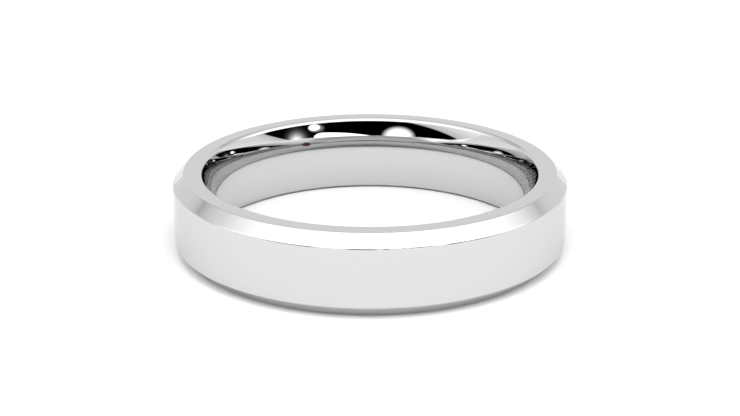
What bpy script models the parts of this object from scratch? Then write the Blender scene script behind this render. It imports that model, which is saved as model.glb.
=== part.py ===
"""Wedding band: a polished ring with bevelled edges, a court-shaped bore and one small stone set inside it.

Metres, +Z up. The band lies on its lower edge face, with its axis along Z and the origin at the
centre of that face. The stone sits in the wall of the bore, with its table facing the band's axis.
"""

import math

import bpy

MM = 0.001

# Band
OUTER_RADIUS = 9.90 * MM
WIDTH = 4.00 * MM  # along the axis
FINGER_CIRCUMFERENCE = 51.0 * MM  # the bore at its narrowest, which is the ring's size
BEVEL = 0.57 * MM  # each leg of the 45 degree bevels on the two outer edges
EDGE_FACE_INNER_RADIUS = 8.62 * MM  # where the flat edge face meets the bore's rounded edge
BORE_EDGE_ROUND = 0.22 * MM
BORE_RADIUS = FINGER_CIRCUMFERENCE / (2 * math.pi)
BAND_STEPS = 144
EDGE_ROUND_STEPS = 4
BORE_ARC_STEPS = 8

# Stone: a round brilliant, measured in shares of its diameter
STONE_DIAMETER = 1.30 * MM
STONE_AZIMUTH = math.radians(-20.9)  # about the band's axis, from +X
TABLE_SHARE = 0.57
CROWN_SHARE = 0.155
GIRDLE_SHARE = 0.03
PAVILION_SHARE = 0.43
STONE_STEPS = 16
TABLE_RECESS = 0.05 * MM  # from the bore's surface down to the table

# Seat: a flush setting, with a burnished lip that reaches over the girdle
CLEARANCE = 0.02 * MM
LIP_REACH = 0.07 * MM
MOUTH_FLARE = 0.10 * MM  # how much wider the bright-cut mouth is at the bore's surface
PILOT_RADIUS = 0.20 * MM
PILOT_DEPTH = 0.07 * MM  # from the culet to the end of the straight pilot hole
DRILL_TIP = math.radians(59)  # half the angle of the drill's point
SEAT_STEPS = 32

SHARP_ANGLE = math.radians(30)


def clear_scene():
    for obj in list(bpy.data.objects):
        bpy.data.objects.remove(obj, do_unlink=True)


def new_collection(name):
    collection = bpy.data.collections.new(name)
    bpy.context.scene.collection.children.link(collection)
    return collection


def new_material(name, colour, metallic, roughness, transmission=0.0, ior=1.45):
    material = bpy.data.materials.new(name)
    material.use_nodes = True
    shader = material.node_tree.nodes["Principled BSDF"]
    shader.inputs["Base Color"].default_value = (*colour, 1.0)
    shader.inputs["Metallic"].default_value = metallic
    shader.inputs["Roughness"].default_value = roughness
    shader.inputs["Transmission Weight"].default_value = transmission
    shader.inputs["IOR"].default_value = ior
    return material


def turned(name, profile, steps, collection, closed=False):
    """Turn a profile of (radius, height) points about Z."""
    points = [(radius, 0.0, height) for radius, height in profile]
    edges = [(i, i + 1) for i in range(len(points) - 1)]
    if closed:
        edges.append((len(points) - 1, 0))
    mesh = bpy.data.meshes.new(name)
    mesh.from_pydata(points, edges, [])
    obj = bpy.data.objects.new(name, mesh)
    collection.objects.link(obj)
    screw = obj.modifiers.new("Turn", "SCREW")
    screw.steps = steps
    screw.render_steps = steps
    screw.use_merge_vertices = True
    screw.merge_threshold = 0.0001 * MM
    return obj


def finish_shape(obj, material):
    """Make the modifiers' result the object's own mesh, shaded smooth between its sharp edges."""
    depsgraph = bpy.context.evaluated_depsgraph_get()
    mesh = bpy.data.meshes.new_from_object(obj.evaluated_get(depsgraph))
    obj.modifiers.clear()
    obj.data = mesh
    mesh.name = obj.name
    mesh.materials.clear()
    mesh.materials.append(material)
    mesh.shade_smooth()
    mesh.set_sharp_from_angle(angle=SHARP_ANGLE)


def arc(centre, radius, start, end, steps):
    """Points on an arc of (radius, height) space, both ends included."""
    angles = [start + (end - start) * i / steps for i in range(steps + 1)]
    return [(centre[0] + radius * math.cos(a), centre[1] + radius * math.sin(a)) for a in angles]


def band_profile():
    """The band's section: a flat outside, two bevels, two flat edge faces and a crowned bore.

    The bore is one shallow arc that bulges towards the finger. It runs on without a corner into
    the two small rounds at the edge faces.
    """
    bulge = EDGE_FACE_INNER_RADIUS - BORE_RADIUS
    half_span = WIDTH / 2 - BORE_EDGE_ROUND
    crown = (bulge**2 + half_span**2 - BORE_EDGE_ROUND**2) / (2 * (bulge - BORE_EDGE_ROUND))
    crown_centre = (BORE_RADIUS + crown, WIDTH / 2)
    meeting = math.asin(half_span / (crown - BORE_EDGE_ROUND))
    low_round = (EDGE_FACE_INNER_RADIUS, BORE_EDGE_ROUND)
    high_round = (EDGE_FACE_INNER_RADIUS, WIDTH - BORE_EDGE_ROUND)

    outside = [(OUTER_RADIUS, WIDTH - BEVEL), (OUTER_RADIUS, BEVEL), (OUTER_RADIUS - BEVEL, 0.0)]
    low = arc(low_round, BORE_EDGE_ROUND, 1.5 * math.pi, math.pi + meeting, EDGE_ROUND_STEPS)
    bore = arc(crown_centre, crown, math.pi + meeting, math.pi - meeting, BORE_ARC_STEPS)
    high = arc(high_round, BORE_EDGE_ROUND, math.pi - meeting, 0.5 * math.pi, EDGE_ROUND_STEPS)
    return outside + low + bore[1:-1] + high + [(OUTER_RADIUS - BEVEL, WIDTH)]


def stone_profile():
    """The stone's half section, from the middle of its table down to its culet, girdle at height 0."""
    girdle = STONE_DIAMETER / 2
    half_girdle = GIRDLE_SHARE * STONE_DIAMETER / 2
    table_height = half_girdle + CROWN_SHARE * STONE_DIAMETER
    culet_height = -half_girdle - PAVILION_SHARE * STONE_DIAMETER
    return [
        (0.0, table_height),
        (TABLE_SHARE * girdle, table_height),
        (girdle, half_girdle),
        (girdle, -half_girdle),
        (0.0, culet_height),
    ]


def seat_profile():
    """The half section of the hole that the stone sits in, from beyond its mouth to the drill's tip."""
    (_, table_height), (table, _), (girdle, half_girdle), _, (_, culet_height) = stone_profile()
    crown_slope = (table_height - half_girdle) / (girdle - table)
    pavilion_slope = (-half_girdle - culet_height) / girdle
    bearing = girdle + CLEARANCE
    lip = girdle - LIP_REACH
    lip_height = half_girdle + LIP_REACH * crown_slope + 1.5 * CLEARANCE
    surface_height = table_height + TABLE_RECESS
    flare_slope = MOUTH_FLARE / (surface_height - lip_height)
    mouth_height = surface_height + 0.15 * MM
    mouth = lip + (mouth_height - lip_height) * flare_slope
    shoulder_height = -half_girdle - CLEARANCE / 2
    pilot_top = shoulder_height - (bearing - PILOT_RADIUS) * pavilion_slope
    pilot_end = culet_height - PILOT_DEPTH
    return [
        (0.0, mouth_height),
        (mouth, mouth_height),
        (lip, lip_height),
        (bearing, half_girdle + 1.5 * CLEARANCE),
        (bearing, shoulder_height),
        (PILOT_RADIUS, pilot_top),
        (PILOT_RADIUS, pilot_end),
        (0.0, pilot_end - PILOT_RADIUS / math.tan(DRILL_TIP)),
    ]


def place_in_bore(obj):
    """Put a turned shape at the stone's place, with its +Z towards the band's axis."""
    table_height = stone_profile()[0][1]
    radius = BORE_RADIUS + TABLE_RECESS + table_height
    obj.rotation_euler = (0.0, -math.pi / 2, STONE_AZIMUTH)
    obj.location = (
        radius * math.cos(STONE_AZIMUTH),
        radius * math.sin(STONE_AZIMUTH),
        WIDTH / 2,
    )


def make_stone(parts):
    stone = turned("inner_gemstone", stone_profile(), STONE_STEPS, parts)
    place_in_bore(stone)
    finish_shape(stone, new_material("ruby", (0.25, 0.004, 0.03), 0.0, 0.02, 0.9, 1.76))
    stone.data.shade_flat()
    return stone


def make_band(parts, cutters):
    seat = turned("stone_seat_cutter", seat_profile(), SEAT_STEPS, cutters)
    place_in_bore(seat)
    seat.hide_render = True
    seat.display_type = "WIRE"

    band = turned("band", band_profile(), BAND_STEPS, parts, closed=True)
    cut = band.modifiers.new("Stone seat", "BOOLEAN")
    cut.operation = "DIFFERENCE"
    cut.solver = "EXACT"
    cut.object = seat
    finish_shape(band, new_material("white_metal", (0.60, 0.60, 0.60), 1.0, 0.06))
    return band


def main():
    clear_scene()
    parts = new_collection("wedding_band")
    cutters = new_collection("cutters")
    make_band(parts, cutters)
    make_stone(parts)


main()
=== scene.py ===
"""The wedding band's look: a mirror-polished white-metal ring on a white table in studio light.

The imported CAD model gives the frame: metres, +Z up, the band lying on its lower edge face with its
axis along Z. The band and its stone are modelled again here, finer, inside the CAD pieces' boxes.
"""

import math

import bmesh
import bpy
from mathutils import Matrix, Vector


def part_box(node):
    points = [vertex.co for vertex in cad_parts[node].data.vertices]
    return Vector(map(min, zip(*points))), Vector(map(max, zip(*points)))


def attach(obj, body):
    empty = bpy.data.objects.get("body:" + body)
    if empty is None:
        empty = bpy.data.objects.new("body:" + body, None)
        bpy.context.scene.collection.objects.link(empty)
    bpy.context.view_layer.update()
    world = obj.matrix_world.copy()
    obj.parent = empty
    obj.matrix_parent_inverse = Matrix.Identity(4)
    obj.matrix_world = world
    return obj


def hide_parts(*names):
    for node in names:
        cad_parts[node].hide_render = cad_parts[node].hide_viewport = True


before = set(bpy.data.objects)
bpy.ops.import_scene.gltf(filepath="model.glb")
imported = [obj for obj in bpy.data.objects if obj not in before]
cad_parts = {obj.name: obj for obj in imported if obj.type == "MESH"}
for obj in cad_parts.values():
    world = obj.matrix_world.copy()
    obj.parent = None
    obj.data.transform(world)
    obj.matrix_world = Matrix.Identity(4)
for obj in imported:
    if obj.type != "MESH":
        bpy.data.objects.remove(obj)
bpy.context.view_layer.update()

MM = 0.001
band_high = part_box("band")[1]

# Band
OUTER_RADIUS = band_high[0]
WIDTH = band_high[2]
BORE_RADIUS = 51.0 * MM / (2 * math.pi)
BEVEL = 0.57 * MM
EDGE_FACE_INNER_RADIUS = 8.62 * MM
BORE_EDGE_ROUND = 0.22 * MM
COLUMNS = 720
CORNER_STEPS = 5
EDGE_ROUND_STEPS = 16
BORE_STEPS = 50
SHARP_ANGLE = math.radians(35)

# The rounds that polishing leaves on the corners
OUTER_ROUND = 0.18 * MM
LOWER_ROUND = 0.04 * MM
FOOT_ROUND = 0.12 * MM
FACE_ROUND = 0.10 * MM
# The upper outer corner stays sharper in places round the ring, each at an azimuth from -Y towards
# +X with a half width, in degrees. SHARPEST is the share of the round left in their middles.
SHARPER_PLACES = (
    (-130, 6),
    (-74, 3),
    (-11, 3.5),
    (2.6, 0.8),
    (5.7, 0.7),
    (7.7, 0.7),
    (9.6, 0.6),
    (18.3, 1.5),
    (67, 4),
    (121, 2.5),
    (168, 5),
)
SHARPEST = 0.25

# Stone and its seat
STONE_AZIMUTH = math.radians(-20.9)
GIRDLE_RADIUS = 0.65 * MM
TABLE_RADIUS = 0.57 * GIRDLE_RADIUS
HALF_GIRDLE = 0.015 * 2 * GIRDLE_RADIUS
CROWN_HEIGHT = 0.155 * 2 * GIRDLE_RADIUS
PAVILION_DEPTH = 0.43 * 2 * GIRDLE_RADIUS
STAR_LENGTH = 0.5
LOWER_HALF_LENGTH = 0.77
GIRDLE_SEGMENTS = 64
CUT_TOLERANCE = 1e-9
TABLE_RECESS = 0.05 * MM
CLEARANCE = 0.02 * MM
LIP_REACH = 0.07 * MM
MOUTH_FLARE = 0.10 * MM
PILOT_RADIUS = 0.20 * MM
PILOT_DEPTH = 0.07 * MM
DRILL_HALF_ANGLE = math.radians(59)
RIM_ROUND = 0.05 * MM
RIM_STEPS = 6
RIM_PASSES = 8
# The patch of the bore round the stone: half its side, in columns and in rows, and its rings
PATCH_HALF = 14
PATCH_RINGS = 12

# The height of the stone's table over its girdle, and the girdle's distance from the band's axis
TABLE_HEIGHT = HALF_GIRDLE + CROWN_HEIGHT
GIRDLE_DISTANCE = BORE_RADIUS + TABLE_RECESS + TABLE_HEIGHT

# Finishes
METAL_REFLECTANCE = (0.60, 0.60, 0.60, 1.0)
METAL_TINT = (0.86, 0.86, 0.86, 1.0)
METAL_RELIEF = 0.00004 * MM
CORNER_WEAR = 0.12 * MM
RUBY_IOR = 1.77
DEEP_RED = (0.12, 0.002, 0.022, 1.0)
PALE_RED = (0.20, 0.004, 0.034, 1.0)

# Table. Its top is a hair below the band, which leaves a thin dark line at the band's foot.
TABLE_SIZE = 4.0
TABLE_DROP = 0.035 * MM
TABLE_ALBEDO = 0.58
FAR_TABLE_ALBEDO = 0.88

# Studio. Azimuths run from the camera's side (-Y) towards +X.
# The crease lies in a plane that tilts down towards the camera: its normal's parts along Z and
# against Y, and its height. The last number turns a distance over it into roughly degrees.
CREASE_UP = 0.911
CREASE_BACK = 0.4115
CREASE_HEIGHT = 0.194
ROUGHLY_DEGREES = 58.0
BRIGHTEST_CEILING = 2.4
# The most light right beside the dark end
BESIDE_DARK = 0.75
# The dark end of the room, in degrees: the top of its arch, and its edges
ARCH_AZIMUTH = 15
ARCH_ELEVATION = 24
ARCH_BEND = 0.003
ARCH_LEFT = -65
RIGHT_CORNER = (61, 3)
RIGHT_SLOPE = 0.385
LEFT_EDGE = -65.5
FOOT_ELEVATION = 2.4
FOOT_BEND_AZIMUTH = -57
FOOT_SLOPE = 0.25
# The low white card in it, in degrees
CARD_START = -1.5
CARD_END = 41.1
CARD_END_ROUND = 6.7
CARD_END_HEIGHT = 3
CARD_END_RISE = 4.85
CARD_PEAK = (37, 7.85)
CARD_BEND = 0.0034

# Soft boxes: a low row in front and one above
BOX_DISTANCE = 0.6
LOW_AZIMUTHS = (-60, 0, 60)
LOW_ELEVATION = 10.5
LOW_SIZE = (0.69, 0.16)
LOW_POWER = 1.5
HIGH_ELEVATION = 62
HIGH_SIZE = (0.5, 0.35)
HIGH_POWER = 2.4

# Camera: its place in outer radii, its dip in radians, its lens in millimetres
CAMERA_BACK = 7.30
CAMERA_UP = 2.843
CAMERA_DIP = 0.3499
LENS = 73.6
SENSOR_WIDTH = 36.0
NEAR_CLIP = 1 * MM


def add_object(name, data):
    """An object of that name in the scene, with the mesh, lamp or camera data given."""
    thing = bpy.data.objects.new(name, data)
    bpy.context.collection.objects.link(thing)
    return thing


# ---------------------------------------------------------------- band


def bore_arc():
    """The bore's crown: its arc's centre and radius, and the angle where the edge rounds begin."""
    bulge = EDGE_FACE_INNER_RADIUS - BORE_RADIUS
    half_span = WIDTH / 2 - BORE_EDGE_ROUND
    crown = (bulge**2 + half_span**2 - BORE_EDGE_ROUND**2) / (2 * (bulge - BORE_EDGE_ROUND))
    return BORE_RADIUS + crown, crown, math.asin(half_span / (crown - BORE_EDGE_ROUND))


def arc(centre, radius, start, end, steps):
    """Points of a profile arc, each as (radius, height, normal radius, normal height)."""
    points = []
    for i in range(steps + 1):
        angle = start + (end - start) * i / steps
        across, up = math.cos(angle), math.sin(angle)
        points.append((centre[0] + radius * across, centre[1] + radius * up, across, up))
    return points


def corner(point, radius, start, end):
    """A small round on an outer corner, between the normals at angles start and end."""
    middle, half = (start + end) / 2, abs(end - start) / 2
    back = radius / math.cos(half)
    centre = (point[0] - back * math.cos(middle), point[1] - back * math.sin(middle))
    return arc(centre, radius, start, end, CORNER_STEPS)


def corner_round(azimuth):
    """The upper outer corner's round at an azimuth from -Y towards +X, in radians."""
    radius = OUTER_ROUND
    for place, half_width in SHARPER_PLACES:
        away = math.degrees(math.remainder(azimuth - math.radians(place), 2 * math.pi)) / half_width
        radius *= 1 - (1 - SHARPEST) * math.exp(-(away**4))
    return radius


def band_profile(angle):
    """The band's section at an angle from +X: from the top of its outside down, and up the bore."""
    centre, crown, meeting = bore_arc()
    low = (EDGE_FACE_INNER_RADIUS, BORE_EDGE_ROUND)
    high = (EDGE_FACE_INNER_RADIUS, WIDTH - BORE_EDGE_ROUND)
    inset = OUTER_RADIUS - BEVEL
    pi = math.pi
    points = corner((OUTER_RADIUS, WIDTH - BEVEL), corner_round(angle + pi / 2), 0.25 * pi, 0.0)
    points += corner((OUTER_RADIUS, BEVEL), LOWER_ROUND, 0.0, -0.25 * pi)
    points += corner((inset, 0.0), FOOT_ROUND, -0.25 * pi, -0.5 * pi)
    points += arc(low, BORE_EDGE_ROUND, 1.5 * pi, pi + meeting, EDGE_ROUND_STEPS)
    points += arc((centre, WIDTH / 2), crown, pi + meeting, pi - meeting, BORE_STEPS)[1:-1]
    points += arc(high, BORE_EDGE_ROUND, pi - meeting, 0.5 * pi, EDGE_ROUND_STEPS)
    points += corner((inset, WIDTH), FACE_ROUND, 0.5 * pi, 0.25 * pi)
    return points


def on_bore(across, up):
    """The bore's surface point and normal at offsets from the stone's place, in the stone's axes.

    The stone's axes are across (round the bore), up (along the band's axis) and depth, which runs
    from the band's axis towards the stone.
    """
    centre, crown, _ = bore_arc()
    radius = centre - math.sqrt(crown**2 - up**2)
    depth = math.sqrt(radius**2 - across**2)
    flat = (radius - centre) / crown
    return (across, up, depth), (flat * across / radius, up / crown, flat * depth / radius)


def stone_axes():
    """The matrix from (across, up, depth) to the world."""
    outward = Vector((math.cos(STONE_AZIMUTH), math.sin(STONE_AZIMUTH), 0.0))
    across = Vector((-outward.y, outward.x, 0.0))
    turn = Matrix((across, Vector((0.0, 0.0, 1.0)), outward)).transposed().to_4x4()
    return Matrix.Translation((0.0, 0.0, WIDTH / 2)) @ turn


def seat_rings():
    """The seat below its mouth, as (radius, height over the girdle), and the flare's slope."""
    crown_slope = CROWN_HEIGHT / (GIRDLE_RADIUS - TABLE_RADIUS)
    pavilion_slope = PAVILION_DEPTH / GIRDLE_RADIUS
    bearing = GIRDLE_RADIUS + CLEARANCE
    lip = GIRDLE_RADIUS - LIP_REACH
    lip_height = HALF_GIRDLE + LIP_REACH * crown_slope + 1.5 * CLEARANCE
    flare = (TABLE_HEIGHT + TABLE_RECESS - lip_height) / MOUTH_FLARE
    shoulder = -HALF_GIRDLE - CLEARANCE / 2
    pilot_top = shoulder - (bearing - PILOT_RADIUS) * pavilion_slope
    pilot_end = -HALF_GIRDLE - PAVILION_DEPTH - PILOT_DEPTH
    rings = [
        (lip, lip_height),
        (bearing, HALF_GIRDLE + 1.5 * CLEARANCE),
        (bearing, shoulder),
        (PILOT_RADIUS, pilot_top),
        (PILOT_RADIUS, pilot_end),
    ]
    return rings, flare


def rim_points(angle, flare, lip, lip_height):
    """The seat's rounded rim in the section at an angle round the stone, from the bore inwards."""
    across, up = math.cos(angle), math.sin(angle)
    radius = lip + MOUTH_FLARE
    # Where the flare meets the curved bore is found by repetition.
    for _ in range(RIM_PASSES):
        depth = on_bore(radius * across, radius * up)[0][2]
        radius = lip + (GIRDLE_DISTANCE - depth - lip_height) / flare
    start, start_normal = on_bore((radius + RIM_ROUND) * across, (radius + RIM_ROUND) * up)
    middle = Vector(on_bore(radius * across, radius * up)[0])
    step = Vector((-across, -up, flare)).normalized() * RIM_ROUND
    end = middle + step
    points = []
    for i in range(1, RIM_STEPS + 1):
        t = i / RIM_STEPS
        points.append(Vector(start) * (1 - t) ** 2 + middle * 2 * t * (1 - t) + end * t**2)
    return Vector(start), Vector(start_normal), points


class BandMesh:
    """The band's mesh as it grows, and the exact normals of the vertices that have one."""

    def __init__(self):
        self.mesh = bmesh.new()
        self.normals = {}

    def add(self, point, normal=None):
        vertex = self.mesh.verts.new(point)
        if normal is not None:
            self.normals[vertex] = Vector(normal).normalized()
        return vertex

    def to_object(self, name, material):
        bmesh.ops.recalc_face_normals(self.mesh, faces=self.mesh.faces)
        self.mesh.verts.index_update()
        exact = {vertex.index: normal for vertex, normal in self.normals.items()}
        data = bpy.data.meshes.new(name)
        self.mesh.to_mesh(data)
        self.mesh.free()
        data.shade_smooth()
        data.set_sharp_from_angle(angle=SHARP_ANGLE)
        # A zero vector leaves a vertex its usual normal.
        usual = Vector((0.0, 0.0, 0.0))
        data.normals_split_custom_set([exact.get(loop.vertex_index, usual) for loop in data.loops])
        data.materials.append(material)
        return add_object(name, data)


def columns_away(column):
    """How many columns a column is from the stone's, from minus to plus half a turn."""
    return (column + COLUMNS // 2) % COLUMNS - COLUMNS // 2


def turned_grid(band, middle_row):
    """The turned surface, a line of vertices per column, with a square hole round the stone."""
    grid = []
    for column in range(COLUMNS):
        angle = STONE_AZIMUTH + 2 * math.pi * column / COLUMNS
        cos, sin = math.cos(angle), math.sin(angle)
        line = []
        for row, (radius, height, flat, up) in enumerate(band_profile(angle)):
            if abs(columns_away(column)) < PATCH_HALF and abs(row - middle_row) < PATCH_HALF:
                line.append(None)
                continue
            point = (radius * cos, radius * sin, height)
            line.append(band.add(point, (flat * cos, flat * sin, up)))
        grid.append(line)

    rows = len(grid[0])
    for column in range(COLUMNS):
        here, after = grid[column], grid[(column + 1) % COLUMNS]
        in_hole = -PATCH_HALF <= columns_away(column) < PATCH_HALF
        for row in range(rows):
            if in_hole and -PATCH_HALF <= row - middle_row < PATCH_HALF:
                continue
            below = (row + 1) % rows
            band.mesh.faces.new((here[row], here[below], after[below], after[row]))
    return grid


def hole_outline(grid, middle_row):
    """The grid's vertices round the hole, in order."""
    first, last = middle_row - PATCH_HALF, middle_row + PATCH_HALF
    outline = [grid[column][first] for column in range(-PATCH_HALF, PATCH_HALF)]
    outline += [grid[PATCH_HALF][row] for row in range(first, last)]
    outline += [grid[column][last] for column in range(PATCH_HALF, -PATCH_HALF, -1)]
    outline += [grid[-PATCH_HALF][row] for row in range(last, first, -1)]
    return outline


def seat_spoke(band, vertex, world, rings, flare):
    """The vertices from one on the hole's outline, over the rim and down to the seat's bottom."""
    turn = world.to_3x3()
    local = world.inverted() @ vertex.co
    angle = math.atan2(local.y, local.x)
    start, start_normal, rim = rim_points(angle, flare, *rings[0])
    spoke = [vertex]
    for ring in range(1, PATCH_RINGS):
        share = ring / PATCH_RINGS
        across = local.x + (start.x - local.x) * share
        up = local.y + (start.y - local.y) * share
        point, normal = on_bore(across, up)
        spoke.append(band.add(world @ Vector(point), turn @ Vector(normal)))
    spoke.append(band.add(world @ start, turn @ start_normal))
    spoke += [band.add(world @ point) for point in rim]
    for radius, height in rings:
        point = (radius * math.cos(angle), radius * math.sin(angle), GIRDLE_DISTANCE - height)
        spoke.append(band.add(world @ Vector(point)))
    return spoke


def cut_seat(band, outline):
    """Fill the hole with rings that go from its square outline to circles, and the seat."""
    world = stone_axes()
    rings, flare = seat_rings()
    spokes = [seat_spoke(band, vertex, world, rings, flare) for vertex in outline]
    tip_height = rings[-1][1] - PILOT_RADIUS / math.tan(DRILL_HALF_ANGLE)
    tip = band.add(world @ Vector((0.0, 0.0, GIRDLE_DISTANCE - tip_height)))
    for one, two in zip(spokes, spokes[1:] + spokes[:1]):
        for i in range(len(one) - 1):
            band.mesh.faces.new((one[i], one[i + 1], two[i + 1], two[i]))
        band.mesh.faces.new((one[-1], tip, two[-1]))


def make_band():
    profile = band_profile(STONE_AZIMUTH)
    middle_row = min(range(len(profile)), key=lambda row: profile[row][0])
    band = BandMesh()
    grid = turned_grid(band, middle_row)
    cut_seat(band, hole_outline(grid, middle_row))
    return band.to_object("polished_band", white_metal())


# ---------------------------------------------------------------- stone


def facet_planes():
    """The planes that cut a round brilliant: a point on each and its outward normal."""
    eighth = math.pi / 4

    def at(radius, angle, height):
        return Vector((radius * math.cos(angle), radius * math.sin(angle), height))

    crown_slope = CROWN_HEIGHT / (GIRDLE_RADIUS - TABLE_RADIUS)
    pavilion_slope = PAVILION_DEPTH / GIRDLE_RADIUS
    table_edge = TABLE_RADIUS * math.cos(eighth / 2)
    star_radius = table_edge + STAR_LENGTH * (GIRDLE_RADIUS - table_edge)
    star_drop = (star_radius * math.cos(eighth / 2) - TABLE_RADIUS) * crown_slope
    half_radius = GIRDLE_RADIUS * (1 - LOWER_HALF_LENGTH)
    half_height = half_radius * math.cos(eighth / 2) * pavilion_slope
    culet = -HALF_GIRDLE - PAVILION_DEPTH
    planes = [(Vector((0.0, 0.0, TABLE_HEIGHT)), Vector((0.0, 0.0, 1.0)))]

    def through(a, b, c):
        normal = (b - a).cross(c - a).normalized()
        if normal.dot(a) < 0:
            normal.negate()
        planes.append((a, normal))

    for i in range(8):
        main, side = i * eighth, (i + 0.5) * eighth
        star = at(star_radius, side, TABLE_HEIGHT - star_drop)
        corner_here = at(TABLE_RADIUS, main, TABLE_HEIGHT)
        corner_next = at(TABLE_RADIUS, main + eighth, TABLE_HEIGHT)
        girdle_here = at(GIRDLE_RADIUS, main, HALF_GIRDLE)
        girdle_side = at(GIRDLE_RADIUS, side, HALF_GIRDLE)
        girdle_next = at(GIRDLE_RADIUS, main + eighth, HALF_GIRDLE)
        before = at(star_radius, side - eighth, TABLE_HEIGHT - star_drop)
        through(before, girdle_here, star)
        through(corner_here, star, corner_next)
        through(star, girdle_here, girdle_side)
        through(star, girdle_side, girdle_next)
        lower = at(half_radius, side, culet + half_height)
        lower_before = at(half_radius, side - eighth, culet + half_height)
        down = Vector((0.0, 0.0, culet))
        through(lower_before, down, lower)
        under_here = at(GIRDLE_RADIUS, main, -HALF_GIRDLE)
        under_side = at(GIRDLE_RADIUS, side, -HALF_GIRDLE)
        under_next = at(GIRDLE_RADIUS, main + eighth, -HALF_GIRDLE)
        through(lower, under_here, under_side)
        through(lower, under_side, under_next)
    return planes


def make_stone():
    """A round rod, cut by the facets' planes."""
    mesh = bmesh.new()
    radius = GIRDLE_RADIUS
    bmesh.ops.create_cone(
        mesh,
        cap_ends=True,
        segments=GIRDLE_SEGMENTS,
        radius1=radius,
        radius2=radius,
        depth=4 * radius,
    )
    for point, normal in facet_planes():
        geometry = mesh.verts[:] + mesh.edges[:] + mesh.faces[:]
        cut = bmesh.ops.bisect_plane(
            mesh,
            geom=geometry,
            dist=CUT_TOLERANCE,
            plane_co=point,
            plane_no=normal,
            clear_outer=True,
        )
        edges = [item for item in cut["geom_cut"] if isinstance(item, bmesh.types.BMEdge)]
        if edges:
            bmesh.ops.contextual_create(mesh, geom=edges)
    bmesh.ops.recalc_face_normals(mesh, faces=mesh.faces)
    # From (x, y, height over the girdle) to the stone's axes, whose third runs the other way.
    place = Matrix(((1, 0, 0, 0), (0, -1, 0, 0), (0, 0, -1, GIRDLE_DISTANCE), (0, 0, 0, 1)))
    mesh.transform(stone_axes() @ place)
    data = bpy.data.meshes.new("brilliant_stone")
    mesh.to_mesh(data)
    mesh.free()
    data.materials.append(ruby())
    return add_object("brilliant_stone", data)


# ---------------------------------------------------------------- materials


class Signal:
    """A number in a node tree, so that sums and products of signals build Math nodes."""

    def __init__(self, tree, socket):
        self.tree = tree
        self.socket = socket

    def math(self, operation, *others):
        node = self.tree.nodes.new("ShaderNodeMath")
        node.operation = operation
        for slot, value in enumerate((self, *others)):
            if isinstance(value, Signal):
                self.tree.links.new(value.socket, node.inputs[slot])
            else:
                node.inputs[slot].default_value = value
        return Signal(self.tree, node.outputs[0])

    def __add__(self, other):
        return self.math("ADD", other)

    def __sub__(self, other):
        return self.math("SUBTRACT", other)

    def __mul__(self, other):
        return self.math("MULTIPLY", other)

    def __pow__(self, other):
        return self.math("POWER", other)

    def below(self, other):
        return self.math("MINIMUM", other)

    def above(self, other):
        return self.math("MAXIMUM", other)

    def smooth(self, start, end):
        """0 at start and 1 at end, with an S-shaped change between them."""
        node = self.tree.nodes.new("ShaderNodeMapRange")
        node.interpolation_type = "SMOOTHSTEP"
        node.inputs["From Min"].default_value = start
        node.inputs["From Max"].default_value = end
        self.tree.links.new(self.socket, node.inputs["Value"])
        return Signal(self.tree, node.outputs["Result"])

    def clip(self):
        return self.above(0.0).below(1.0)

    def fade(self, reach):
        """1 where this is 0 or less, falling to 1/e at reach."""
        return (self.above(0.0) * (-1 / reach)).math("EXPONENT")

    def off(self, middle, width):
        """The squared distance from middle, in widths."""
        away = (self - middle) * (1 / width)
        return away * away

    def bell(self, middle, width):
        """A bell curve: 1 at middle, and 1/e at a width from it."""
        return (self.off(middle, width) * -1.0).math("EXPONENT")

    def mix(self, other, share):
        """This signal where share is 0, the other where it is 1."""
        return self + (self * -1.0 + other) * share


def new_material(name):
    material = bpy.data.materials.new(name)
    material.use_nodes = True
    return material, material.node_tree.nodes, material.node_tree.links


def object_place(tree):
    """Signals for the place on the object, in millimetres."""
    coordinates = tree.nodes.new("ShaderNodeTexCoord")
    split = tree.nodes.new("ShaderNodeSeparateXYZ")
    tree.links.new(coordinates.outputs["Object"], split.inputs[0])
    return [Signal(tree, split.outputs[i]) * (1 / MM) for i in range(3)]


def noise(tree, place, detail=2.0):
    """A noise texture at a place of three or four signals."""
    node = tree.nodes.new("ShaderNodeTexNoise")
    node.noise_dimensions = "4D" if len(place) == 4 else "3D"
    node.inputs["Scale"].default_value = 1.0
    node.inputs["Detail"].default_value = detail
    join = tree.nodes.new("ShaderNodeCombineXYZ")
    for slot in range(3):
        tree.links.new(place[slot].socket, join.inputs[slot])
    tree.links.new(join.outputs[0], node.inputs["Vector"])
    if len(place) == 4:
        tree.links.new(place[3].socket, node.inputs["W"])
    return Signal(tree, node.outputs[0])


def bump(tree, height, distance):
    """Let a height signal, in units of a distance, tilt the Principled shader's normal."""
    node = tree.nodes.new("ShaderNodeBump")
    node.inputs["Strength"].default_value = 1.0
    node.inputs["Distance"].default_value = distance
    tree.links.new(height.socket, node.inputs["Height"])
    tree.links.new(node.outputs[0], tree.nodes["Principled BSDF"].inputs["Normal"])


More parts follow.
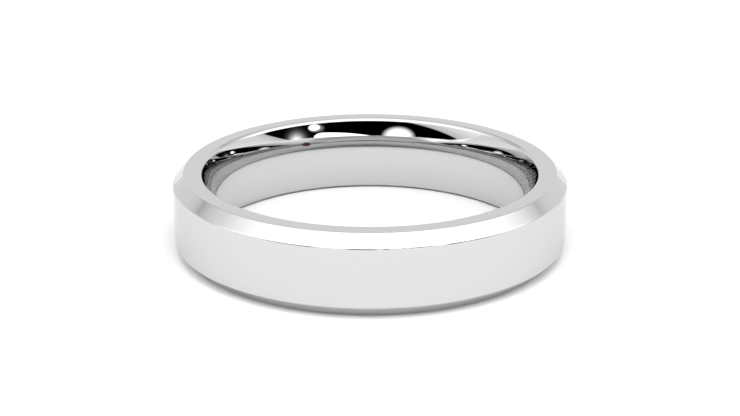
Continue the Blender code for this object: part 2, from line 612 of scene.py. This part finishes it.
def white_metal():
    """Mirror polish: hairlines round the band, some stray scratches, smudges, duller corners."""
    material, nodes, links = new_material("white_metal")
    tree = material.node_tree
    shader = nodes["Principled BSDF"]
    shader.inputs["Metallic"].default_value = 1.0
    shader.inputs["Base Color"].default_value = METAL_REFLECTANCE
    shader.inputs["Specular Tint"].default_value = METAL_TINT
    x, y, z = object_place(tree)
    radius = (x * x + y * y) ** 0.5
    # Lengths round the band and across it, both in millimetres
    along = x.math("ARCTAN2", y * -1.0) * (OUTER_RADIUS / MM)
    across = z - radius * 0.7

    lines = noise(tree, (x * 0.35, y * 0.35, z * 22.0, radius * 22.0))
    broad = noise(tree, (x * 0.5, y * 0.5, z * 0.8))
    hairlines = lines.bell(0.5, 0.025) * broad.smooth(0.42, 0.62)
    slant = (along * 0.25 + across * 0.45, across * 7.0 - along * 12.0, z * 0.3)
    spots = noise(tree, (x * 0.9, z * 0.9, y * 0.9), 0.0)
    stray = noise(tree, slant, 1.0).bell(0.5, 0.012) * spots.smooth(0.58, 0.7)
    smudges = noise(tree, (x * 0.3, y * 0.3, z * 0.6), 4.0).smooth(0.45, 0.75)
    reach = CORNER_WEAR / MM
    outer = (radius - OUTER_RADIUS / MM).bell(0.0, reach)
    corners = outer * (z.bell((WIDTH - BEVEL) / MM, reach) + z.bell(BEVEL / MM, reach))
    roughness = hairlines * 0.030 + stray * 0.05 + smudges * 0.020 + corners * 0.02 + 0.012
    links.new(roughness.socket, shader.inputs["Roughness"])
    bump(tree, lines * 0.5 + hairlines * -0.5 + stray * -1.5, METAL_RELIEF)
    return material


def ruby():
    """Clear red with a faint colour zoning and a polish that isn't quite even."""
    material, nodes, links = new_material("ruby")
    tree = material.node_tree
    shader = nodes["Principled BSDF"]
    shader.inputs["IOR"].default_value = RUBY_IOR
    shader.inputs["Transmission Weight"].default_value = 1.0
    x, y, z = object_place(tree)
    zones = noise(tree, (x * 1.2, y * 1.2, z * 5.0), 3.0)
    colour = tree.nodes.new("ShaderNodeValToRGB")
    colour.color_ramp.elements[0].position = 0.35
    colour.color_ramp.elements[0].color = DEEP_RED
    colour.color_ramp.elements[1].position = 0.65
    colour.color_ramp.elements[1].color = PALE_RED
    links.new(zones.socket, colour.inputs[0])
    links.new(colour.outputs[0], shader.inputs["Base Color"])
    polish = noise(tree, (x * 9.0, y * 9.0, z * 30.0), 2.0)
    links.new((polish.smooth(0.4, 0.7) * 0.02).socket, shader.inputs["Roughness"])
    bump(tree, polish, METAL_RELIEF)
    return material


# ---------------------------------------------------------------- studio


def make_floor():
    """A matt white table. Far off it is paler, so that no horizon shows before the white behind."""
    bpy.ops.mesh.primitive_plane_add(size=TABLE_SIZE)
    floor = bpy.context.object
    floor.name = "table_top"
    floor.location.z = -TABLE_DROP
    material, nodes, links = new_material("table_top")
    shader = nodes["Principled BSDF"]
    shader.inputs["Specular IOR Level"].default_value = 0.0
    x, y, z = object_place(material.node_tree)
    far = ((x * x + y * y) ** 0.5).smooth(100.0, 400.0)
    albedo = far * (FAR_TABLE_ALBEDO - TABLE_ALBEDO) + TABLE_ALBEDO
    links.new(albedo.socket, shader.inputs["Base Color"])
    grain = noise(material.node_tree, (x * 2.0, y * 2.0, z), 3.0)
    links.new((grain * 0.2 + 0.6).socket, shader.inputs["Roughness"])
    floor.data.materials.append(material)


class View:
    """A direction in the studio: signals for its unit vector, and its two angles in degrees."""

    def __init__(self, tree):
        coordinates = tree.nodes.new("ShaderNodeTexCoord")
        split = tree.nodes.new("ShaderNodeSeparateXYZ")
        tree.links.new(coordinates.outputs["Generated"], split.inputs[0])
        self.x, self.y, self.z = (Signal(tree, split.outputs[i]) for i in range(3))
        self.azimuth = self.x.math("ARCTAN2", self.y * -1.0) * math.degrees(1)
        self.elevation = self.z.math("ARCSINE") * math.degrees(1)

    def ellipse(self, azimuth, elevation, half_width, half_height):
        """The squared distance from an ellipse's middle, 1 on its outline."""
        return self.azimuth.off(azimuth, half_width) + self.elevation.off(elevation, half_height)

    def glow(self, azimuth, elevation, width, height):
        """A soft patch of light: 1 in its middle, and 1/e at its width or height from there."""
        return self.azimuth.bell(azimuth, width) * self.elevation.bell(elevation, height)


def pale_room(view):
    """A pale wall all round and a large soft ceiling light, brightest on the camera's side.

    They meet at a soft crease that tilts down towards the camera, and on the far side both are a
    little darker near it. A glow stands on the wall at the right.
    """
    over_crease = view.z * CREASE_UP - view.y * CREASE_BACK - CREASE_HEIGHT
    over_crease = over_crease * ROUGHLY_DEGREES
    # The ceiling is brightest on the near side, and falls off along two slopes.
    near_ceiling = view.y * -2.0 + view.x * 0.2 + 1.83
    far_ceiling = view.y * -0.75 + 1.36
    ceiling = near_ceiling.above(far_ceiling).below(BRIGHTEST_CEILING)
    ceiling_shade = over_crease.fade(6.0) * (view.y * 3.0 + 0.2).clip()
    ceiling = ceiling * ((view.x * 0.09 - 0.26) * ceiling_shade + 1.0)
    wall = view.x * view.x * (view.elevation.fade(4.0) * 0.33 - 0.05) + 1.07
    wall_shade = (over_crease * -1.0).fade(4.2) * (view.y * 2.0).clip()
    wall = wall * ((view.x * 0.1 - 0.345) * wall_shade + 1.0)
    room = wall.mix(ceiling, over_crease.smooth(-0.35, 0.35))
    return room + view.glow(azimuth=84, elevation=28, width=14, height=8) * 1.5


def dark_end(view):
    """The dark end of the room: its share, from 0 to 1, and the most light that shows beside it."""
    off_peak = view.azimuth - ARCH_AZIMUTH
    over_arch = view.elevation - (off_peak * off_peak * -ARCH_BEND + ARCH_ELEVATION)
    corner_azimuth, corner_elevation = RIGHT_CORNER
    right_edge = (view.azimuth - corner_azimuth) * RIGHT_SLOPE + corner_elevation
    past_right = right_edge - view.elevation
    past_bend = view.azimuth - FOOT_BEND_AZIMUTH
    foot = (past_bend * -FOOT_SLOPE).above(0.0) + FOOT_ELEVATION
    share = over_arch.smooth(0.5, -0.5) * past_right.smooth(0.3, -0.3)
    share = share * view.azimuth.smooth(LEFT_EDGE - 1, LEFT_EDGE + 1)
    share = share * (view.elevation - foot).smooth(-0.4, 0.4)

    # The limit grows away from the dark end, over it faster towards the right.
    over_light = over_arch * ((view.azimuth - ARCH_LEFT) * 0.0007 + 0.05)
    under_light = (foot - view.elevation) * 0.8
    beside = over_light.above(past_right * 0.065).above(under_light).above(0.0) + BESIDE_DARK
    return share, beside


def white_card(view):
    """The card's share of each direction. Its top is a shallow arch, rounded at the right end."""
    end = ((view.azimuth - (CARD_END - CARD_END_ROUND)) * (1 / CARD_END_ROUND)).above(0.0)
    rounded_end = (end * end * -1.0 + 1.0).above(0.0) ** 0.5 * CARD_END_RISE
    rounded_end = rounded_end + CARD_END_HEIGHT
    peak_azimuth, peak_elevation = CARD_PEAK
    off_peak = view.azimuth - peak_azimuth
    top = (off_peak * off_peak * -CARD_BEND + peak_elevation).below(rounded_end)
    ends = view.azimuth.smooth(CARD_END + 0.2, CARD_END - 0.2)
    ends = ends * view.azimuth.smooth(CARD_START - 1.5, CARD_START + 1.5)
    return (view.elevation - top).smooth(0.25, -0.25) * ends


def small_lights(view):
    """The lights in the dark end: a soft lamp, a small one with a halo, an edge glow, a card."""
    soft_lamp = view.ellipse(azimuth=-20.7, elevation=3, half_width=7.2, half_height=6.5)
    small_lamp = view.ellipse(azimuth=40.8, elevation=13.8, half_width=4.0, half_height=3.1)
    halo = view.ellipse(azimuth=39.3, elevation=12.9, half_width=6.0, half_height=4.3)
    light = soft_lamp.smooth(3.4, 0.0) * 2.6
    light = light + small_lamp.smooth(1.6, 0.4) * 3.0
    light = light + halo.smooth(1.4, 0.0) * 0.4
    light = light + view.glow(azimuth=54.6, elevation=0, width=4.7, height=6.8) * 2.4
    return light + white_card(view) * 3.0


def studio_light(tree):
    """How bright the studio is in each direction."""
    view = View(tree)
    light = pale_room(view)
    share, beside = dark_end(view)
    in_front = view.azimuth.math("ABSOLUTE").smooth(110, 90)
    light = light.mix(light.below(beside), in_front)
    return light.mix(small_lights(view), share)


def make_world():
    """The studio lights the ring and shows in it. The camera itself sees plain white behind it."""
    world = bpy.data.worlds.new("studio")
    bpy.context.scene.world = world
    world.use_nodes = True
    tree = world.node_tree
    background = tree.nodes["Background"]
    seen = Signal(tree, tree.nodes.new("ShaderNodeLightPath").outputs["Is Camera Ray"])
    light = studio_light(tree).mix(1.0, seen)
    tree.links.new(light.socket, background.inputs["Color"])


def make_soft_box(number, azimuth, elevation, size, power):
    """A soft box that faces the ring. It lights the table and doesn't show in the metal."""
    data = bpy.data.lights.new(f"soft_box_{number}", "AREA")
    data.shape = "RECTANGLE"
    data.size, data.size_y = size
    data.energy = power
    box = add_object(f"soft_box_{number}", data)
    turn, rise = math.radians(azimuth), math.radians(elevation)
    across, up = math.cos(rise) * BOX_DISTANCE, math.sin(rise) * BOX_DISTANCE
    box.location = (math.sin(turn) * across, -math.cos(turn) * across, up)
    box.rotation_euler = (math.pi / 2 - rise, 0.0, turn)
    box.visible_camera = False
    box.visible_glossy = False
    box.visible_transmission = False


def make_lamps():
    for number, azimuth in enumerate(LOW_AZIMUTHS):
        make_soft_box(number, azimuth, LOW_ELEVATION, LOW_SIZE, LOW_POWER)
    make_soft_box(len(LOW_AZIMUTHS), 0, HIGH_ELEVATION, HIGH_SIZE, HIGH_POWER)


def make_camera():
    data = bpy.data.cameras.new("camera")
    data.sensor_width = SENSOR_WIDTH
    data.lens = LENS
    data.clip_start = NEAR_CLIP
    camera = add_object("camera", data)
    camera.location = (0.0, -CAMERA_BACK * OUTER_RADIUS, CAMERA_UP * OUTER_RADIUS)
    camera.rotation_euler = (math.pi / 2 - CAMERA_DIP, 0.0, 0.0)
    bpy.context.scene.camera = camera


make_camera()
make_world()
make_lamps()
make_floor()
bpy.context.scene.view_settings.view_transform = "Standard"
# The bore mirrors itself over and over at its two ends.
bpy.context.scene.cycles.glossy_bounces = 6

band = make_band()
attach(band, "root")
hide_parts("band")

stone = make_stone()
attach(stone, "root")
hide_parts("inner_gemstone")
